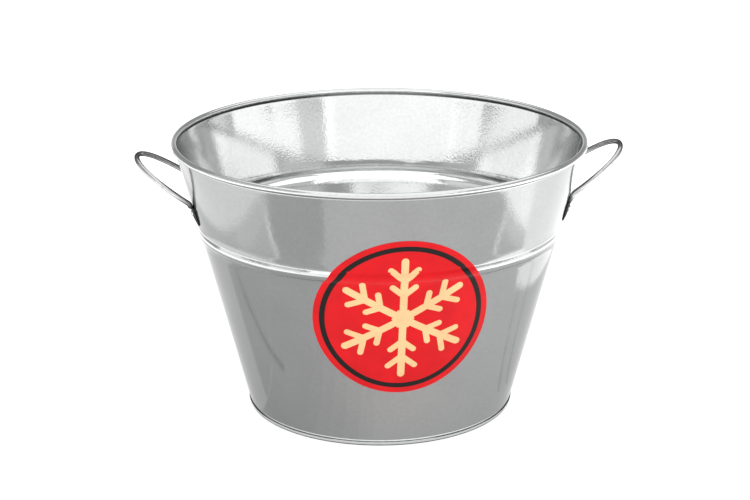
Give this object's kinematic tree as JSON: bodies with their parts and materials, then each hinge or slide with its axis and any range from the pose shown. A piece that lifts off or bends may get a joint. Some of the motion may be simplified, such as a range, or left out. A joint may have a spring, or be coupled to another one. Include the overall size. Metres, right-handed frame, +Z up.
{
  "type": "ice bucket",
  "caption": "Round tapered sheet-metal ice bucket with a wire-rolled rim, a swaged bead, a recessed seamed base and riveted wire handles.",
  "frame": {"origin": "middle of the footprint, on the surface that the bucket stands on", "axes": "+Z up, handles stand out along +X and -X, the printed front faces -Y"},
  "size_m": [0.377, 0.32, 0.214],
  "materials": {
    "sheet_metal": "bright tinned sheet with a fine grain and soft mirror reflections",
    "steel_wire": "plain drawn steel wire, hidden in the rolled rim",
    "handle_wire": "bright plated wire",
    "rivet_metal": "bright, upset by hand",
    "decal_vinyl": "satin printed vinyl"
  },
  "bodies": {
    "root": {"wall_sheet": "sheet_metal", "rim_wire": "steel_wire", "base_pan": "sheet_metal", "left_handle": "handle_wire", "right_handle": "handle_wire", "rivet_left_front": "rivet_metal", "rivet_left_rear": "rivet_metal", "rivet_right_front": "rivet_metal", "rivet_right_rear": "rivet_metal", "front_decal": "decal_vinyl"}
  },
  "joints": []
}
